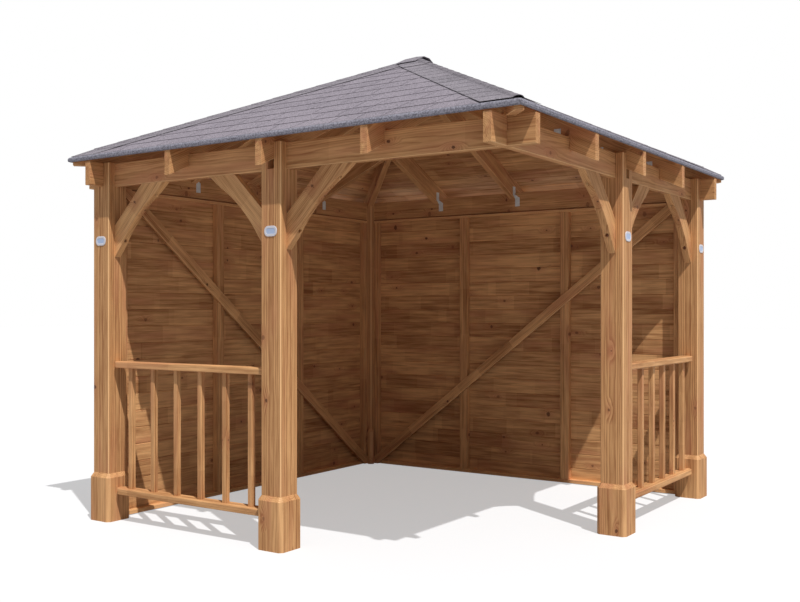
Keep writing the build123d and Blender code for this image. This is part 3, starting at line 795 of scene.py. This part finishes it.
def drill(node):
    """A brace like its node, with eased edges and two counterbored holes."""
    source = nodes[node]
    copy = bpy.data.objects.new(node + "_drilled", source.data.copy())
    bpy.context.scene.collection.objects.link(copy)
    weld_points(copy)
    cutters = []
    for mouth, way in hole_places(node):
        depth = HOLE_DEPTH + CUTTER_OVER
        cutter = bpy.data.objects.new("cutter", cylinder(HOLE_RADIUS, depth))
        cutter.matrix_world = (Matrix.Translation(mouth + way * (HOLE_DEPTH - depth / 2))
                               @ way.to_track_quat("Z", "Y").to_matrix().to_4x4())
        bpy.context.scene.collection.objects.link(cutter)
        hole = copy.modifiers.new("hole", "BOOLEAN")
        hole.operation, hole.solver, hole.object = "DIFFERENCE", "EXACT", cutter
        cutters.append(cutter)
    bpy.context.view_layer.update()
    shaped = copy.evaluated_get(bpy.context.evaluated_depsgraph_get())
    mesh = bpy.data.meshes.new_from_object(shaped)
    piece = bpy.data.objects.new(node + "_timber", mesh)
    for helper in cutters + [copy]:
        bpy.data.objects.remove(helper)
    bpy.context.scene.collection.objects.link(piece)
    ease_edges(piece, EASE)
    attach(piece, "root")
    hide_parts(node)
    return piece


def add_head(build, seat, axis, sides, profile):
    """The turned head of a screw or a nail on its seat."""
    across = axis.orthogonal().normalized()
    beside = axis.cross(across)
    rings = []
    for radius, lift, lobes in profile:
        ring = []
        for step in range(sides):
            angle = math.tau * step / sides
            reach = radius * (1 + lobes * math.cos(6 * angle))
            outwards = across * math.cos(angle) + beside * math.sin(angle)
            ring.append(tuple(seat + axis * lift + outwards * reach))
        rings.append(ring)
    build.sweep(rings)


def add_screws():
    """The head of a screw at the bottom of each hole, with a six-sided recess."""
    build = Build()
    for node in BRACES:
        for mouth, way in hole_places(node):
            add_head(build, mouth + way * (HOLE_DEPTH - 0.0008), way, 24, SCREW_PROFILE)
    build.place("brace_screws", [screw_steel], "clip_steel")


def add_clip_nails():
    """Round nail heads on both legs of every clip."""
    clip_low, clip_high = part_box("rafter_clips")
    build = Build()
    for side in TURNS:
        for spot in (-1, 0, 1):
            on_post = spot == 0 and side not in WALLED
            face = POST_PITCH - (POST_HALF if on_post else BEAM_HALF)
            fold = spot * JACK_PITCH - CLIP_FOLD
            for row in NAIL_ROWS:
                for column in NAIL_COLUMNS:
                    lower = (fold - column, -(face - CLIP_THICK - SEAT), clip_low.z + row)
                    upper = (fold - CLIP_THICK, -(face - SEAT - column), clip_high.z - row)
                    for head, way in ((lower, (0, 1, 0)), (upper, (-1, 0, 0))):
                        add_head(build, turned(side) @ Vector(head), faced(side, way), 10, NAIL_PROFILE)
    build.place("clip_nails", [steel], "clip_steel")


def rounded(width, height, corner):
    """A rectangle with round corners, as points about its middle."""
    steps = 6
    points = []
    for quarter, (x_sign, z_sign) in enumerate(((1, 1), (-1, 1), (-1, -1), (1, -1))):
        for step in range(steps + 1):
            angle = math.radians(90) * (quarter + step / steps)
            x = x_sign * (width / 2 - corner) + corner * math.cos(angle)
            z = z_sign * (height / 2 - corner) + corner * math.sin(angle)
            points.append((x, z))
    return points


def add_plates():
    """Small plain plates with a raised rim round a bare field."""
    low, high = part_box("post_plates")
    width, height, corner, thick = 0.092, 0.059, 0.027, 0.004
    rim = thick - 0.0002
    # inset from the outline, and lift off the post
    profile = ((0.0, 0.0001), (0.0, 0.0026), (0.0016, rim), (0.0125, rim), (0.0140, thick - 0.0014))
    middle_z = (low.z + high.z) / 2
    face = POST_PITCH + POST_HALF
    build = Build()
    for side, spots in (("front", (-1, 0)), ("right", (0, 1))):
        for spot in spots:
            rings = []
            for inset, lift in profile:
                outline = rounded(width - 2 * inset, height - 2 * inset, corner - inset)
                ring = [(spot * POST_PITCH + x, -face - lift, middle_z + z) for x, z in outline]
                rings.append([tuple(turned(side) @ Vector(point)) for point in ring])
            build.sweep(rings)
            build.looks[-1] = 1
    build.place("post_plates_bare", [plate_rim, plate_face], "plate", ["post_plates"])


# ------------------------------ CAD timbers
TAIL_DROP = 0.07       # from the eaves down to the line that the grain of a rafter follows
CORNERS = {"front_left": (-1, -1), "front_right": (1, -1), "back_right": (1, 1), "back_left": (-1, 1)}
RAIL = 0.027           # height of the rails of a wall frame
HANDRAIL = 0.040       # and of a railing
BALUSTER_END = 0.136   # from a post to the middle of the first baluster
BALUSTERS = 6
# painted shade of the gap under a beam, as a dark line along the top of the frame
UNDER_BEAM_SHADE = (0.006, 0.010)  # below a beam: where its dark line is full, and where it starts


def weld_points(piece):
    """Joins the faces of a CAD mesh where they meet, with a modifier."""
    weld = piece.modifiers.new("weld", "WELD")
    weld.merge_threshold = WELD


def ease_edges(piece, width):
    """Takes the sharpness off the edges of a timber with modifiers, and leaves its mesh as it is."""
    weld_points(piece)
    flat = piece.modifiers.new("flat", "DECIMATE")
    flat.decimate_type = "DISSOLVE"
    flat.angle_limit = math.radians(1)
    ease = piece.modifiers.new("ease", "BEVEL")
    ease.width, ease.segments = width, 2
    ease.limit_method, ease.angle_limit = "ANGLE", math.radians(35)
    ease.use_clamp_overlap = True


def paint(piece, material, ease=0.0):
    """Gives a CAD timber one material, and eased edges where a width is given."""
    piece.data.materials.clear()
    piece.data.materials.append(material)
    if ease:
        ease_edges(piece, ease)


def finish_posts():
    """Timber along the posts, their feet and the boss, with a pith of its own for each place."""
    repeats = {"repeat": POST_PITCH, "repeat_third": POST_PITCH}
    beside = (-1, 0, 0)
    post = solid_timber("post_timber", UP, beside, (0, 0, 0), (0.003, -0.003), 0.10, POST_LOOK, **repeats)
    foot_look = {**POST_LOOK, "Wander": 0.02, "Figure": 1.1, "Streaks": 0.9}
    foot = solid_timber("foot_timber", UP, beside, (0, 0, 0.4), (0.012, 0.008), 0.04, foot_look, 0.3,
                        **repeats)
    for name in nodes:
        if name.endswith("_post"):
            paint(nodes[name], post)
    paint(nodes["post_feet"], foot)
    paint(nodes["apex_boss"], post)


def finish_beam_and_rafters(side):
    """Timber along the beam of a side, and up its rafters."""
    along = faced(side, (1, 0, 0))
    uphill = faced(side, (0, ALONG_SLOPE, math.sin(PITCH)))
    low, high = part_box(side + "_beam")
    tone = dice.gauss(-0.03, 0.03)
    # the painted highlight on the arrises is faint on the walled sides, which lie in shade
    highlight = 0.1 if side in WALLED else 1.0
    timber = solid_timber(side + "_beam_timber", along, UP, (low + high) / 2, (0.02, 0.045), tone,
                          BEAM_LOOK, highlight)
    paint(nodes[side + "_beam"], timber, BEAM_EASE)
    tail = turned(side) @ Vector((0, -HALF, EAVES - TAIL_DROP))
    tone = dice.gauss(0.0, 0.04)
    timber = solid_timber(side + "_rafter_timber", uphill, along, tail, (0.006, 0.050), tone,
                          BEAM_LOOK, repeat=JACK_PITCH)
    paint(nodes[side + "_rafters"], timber, EASE)


def finish_hip_rafters():
    """Timber up the hips."""
    for name, (x_sign, y_sign) in CORNERS.items():
        node = name + "_hip_rafter"
        uphill = (-x_sign, -y_sign, HIP_FALL * math.sqrt(2))
        beside = (y_sign, -x_sign, 0)
        tail = (x_sign * HALF, y_sign * HALF, EAVES - TAIL_DROP)
        timber = solid_timber(node + "_timber", uphill, beside, tail, (0.008, 0.05), 0.02, BEAM_LOOK)
        paint(nodes[node], timber, EASE)


def finish_wall(side):
    """Timber of the frame of a wall, and along its diagonal."""
    node = side + "_wall_frame"
    (left, right), (inner, outer), heights = to_local(side, node)
    middle = turned(side) @ Vector((0, -(inner + outer) / 2, 0))
    timber = wall_frame_timber(node, faced(side, (1, 0, 0)), middle, heights, right - left)
    paint(nodes[node], timber, EASE)
    node = side + "_wall_diagonal"
    (left, right), (inner, outer), (low, high) = to_local(side, node)
    rises = 1 if side == "left" else -1
    way = faced(side, (right - left, 0, rises * (high - low)))
    centre = turned(side) @ Vector((0, -(inner + outer) / 2, (low + high) / 2))
    look = {**SLIM_LOOK, "Streaks": 1.4, "Patches": 1.6}
    timber = solid_timber(node + "_timber", way, UP, centre, (0.03, 0.04), 0.16, look)
    paint(nodes[node], timber, BEAM_EASE)


def finish_cad_nodes():
    """Materials of every node that stays, with eased edges where the timber is sawn square."""
    finish_posts()
    paint(nodes["apex_cap"], felt_cap)
    paint(nodes["rafter_clips"], steel)
    for side in TURNS:
        finish_beam_and_rafters(side)
    finish_hip_rafters()
    for side in WALLED:
        finish_wall(side)
    for side in ("front", "right"):
        node = side + "_railing"
        paint(nodes[node], railing_timber(node, side, faced(side, (1, 0, 0))))


def wall_frame_timber(node, along, middle, heights, length):
    """Upright studs between level rails, seen from the room."""
    level = (heights[0] + RAIL / 2, heights[1] - RAIL / 2)
    material, tree, shader = new_material(node + "_timber")
    upright = grain_of(tree, UP, along, middle, (0.02, 0.05), repeat=length / 6)
    flat = grain_of(tree, along, UP, middle, (0.04, 0.03))
    link_crossed(tree, shader, upright, flat, level, RAIL / 2, (0.22, 0.75), heights[1])
    return material


def railing_timber(node, side, along):
    """Upright balusters between two level rails."""
    (left, right), (inner, outer), (low, high) = to_local(side, node)
    pitch = (right - left + 2 * SEAT - 2 * BALUSTER_END) / (BALUSTERS - 1)
    first = turned(side) @ Vector((left - SEAT + BALUSTER_END, -(inner + outer) / 2, 0))
    level = (low + HANDRAIL / 2, high - HANDRAIL / 2)
    no_shade = 2 * high          # well above the railing
    material, tree, shader = new_material(node + "_timber")
    upright = grain_of(tree, UP, along, first, (0.022, 0.02), repeat=pitch)
    flat = grain_of(tree, along, (0, 1, 0) if side == "front" else (1, 0, 0), first, (0.01, 0.03))
    link_crossed(tree, shader, upright, flat, level, HANDRAIL / 2, (0.06, 0.08), no_shade)
    return material


def link_crossed(tree, shader, upright, flat, level, half_height, tones, shade_top):
    """Timber of crossing pieces: rails within half_height of their levels, and uprights elsewhere.

    Tones are those of the uprights and of the rails.  Just under the height shade_top, in the gap
    below a beam, the timber is darkened as painted shade.
    """
    height = separate(tree, add(tree, "TexCoord").outputs["Object"])[2]
    in_rail = calc(tree, "MAXIMUM", *[calc(tree, "COMPARE", height, middle, half_height + 0.0002)
                                      for middle in level])
    pick = add(tree, "Mix", {0: in_rail, 4: upright, 5: flat}, data_type="VECTOR")
    tone = ramp(tree, in_rail, 0.0, 1.0, *tones)
    # painted shade: the wood is darkened just under the beam, where the gap lies in shade
    painted_shade = ramp(tree, height, shade_top - UNDER_BEAM_SHADE[1], shade_top - UNDER_BEAM_SHADE[0], 0.0, 2.4)
    tone = calc(tree, "SUBTRACT", tone, painted_shade)
    finish_timber(tree, shader, pick.outputs[1], tone, SLIM_LOOK)


def finish_braces():
    """Drilled braces, with the grain along them."""
    for node, (side, direction, tone) in BRACES.items():
        low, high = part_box(node)
        pith = (dice.uniform(0.0, 0.05), 0.035)
        material = solid_timber(node + "_timber", faced(side, (direction, 0, 1)), UP, (low + high) / 2,
                                pith, tone, BEAM_LOOK)
        paint(drill(node), material)


# ------------------------------ camera, light and floor
def add_camera():
    """The camera that was fitted to the photo."""
    data = bpy.data.cameras.new("camera")
    data.lens = 44.64
    data.shift_x = 0.001
    data.shift_y = 0.011
    data.clip_end = 200
    camera = bpy.data.objects.new("camera", data)
    camera.location = (3.675, -5.682, 1.342)
    camera.rotation_euler = (math.radians(90), 0, math.radians(33.93))
    bpy.context.scene.collection.objects.link(camera)
    bpy.context.scene.camera = camera


def add_sun():
    """Sun from the front right, high up."""
    data = bpy.data.lights.new("sun", "SUN")
    data.energy = 3.75
    data.angle = math.radians(0.6)
    sun = bpy.data.objects.new("sun", data)
    sun.rotation_mode = "QUATERNION"
    sun.rotation_quaternion = Vector((-0.512, 0.306, -1.0)).to_track_quat("-Z", "Y")
    bpy.context.scene.collection.objects.link(sun)


def add_world():
    """A white background, and a dimmer, slightly blue sky for the light."""
    world = bpy.data.worlds.new("studio")
    world.use_nodes = True
    tree = world.node_tree
    background = tree.nodes["Background"]
    seen = add(tree, "LightPath").outputs
    direct = calc(tree, "MAXIMUM", seen["Is Camera Ray"], seen["Is Glossy Ray"])
    color = blend(tree, direct, (0.96, 1.0, 1.09), (1.0, 1.0, 1.0))
    feed(tree, background, {"Strength": ramp(tree, direct, 0.0, 1.0, 0.30, 1.0), "Color": color})
    bpy.context.scene.world = world


def add_floor():
    """A white ground that shows the shadow; what it throws back is set apart from how it looks."""
    mesh = bpy.data.meshes.new("floor")
    far = 60.0
    mesh.from_pydata([(-far, -far, 0), (far, -far, 0), (far, far, 0), (-far, far, 0)], [], [(0, 1, 2, 3)])
    floor = bpy.data.objects.new("floor", mesh)
    bpy.context.scene.collection.objects.link(floor)
    material = bpy.data.materials.new("floor")
    material.use_nodes = True
    tree = material.node_tree
    tree.nodes.clear()
    bounce = add(tree, "BsdfDiffuse", {"Color": (0.49, 0.49, 0.49, 1)})
    shown = add(tree, "BsdfDiffuse", {"Color": (0.44, 0.44, 0.44, 1)})
    glow = add(tree, "Emission", {"Strength": 0.45})
    both = add(tree, "AddShader", {0: shown.outputs[0], 1: glow.outputs[0]})
    seen = add(tree, "LightPath").outputs["Is Camera Ray"]
    pick = add(tree, "MixShader", {0: seen, 1: bounce.outputs[0], 2: both.outputs[0]})
    add(tree, "OutputMaterial", {"Surface": pick.outputs[0]})
    mesh.materials.append(material)


# ------------------------------ the whole
add_camera()
add_sun()
add_world()
add_floor()
for wall in WALLED:
    add_wall(wall)
for roof_side in TURNS:
    add_roof_boards(roof_side)
    add_roof_felt(roof_side)
add_hip_caps()
finish_cad_nodes()
finish_braces()
add_screws()
add_clip_nails()
add_plates()

bpy.context.scene.view_settings.view_transform = "Standard"
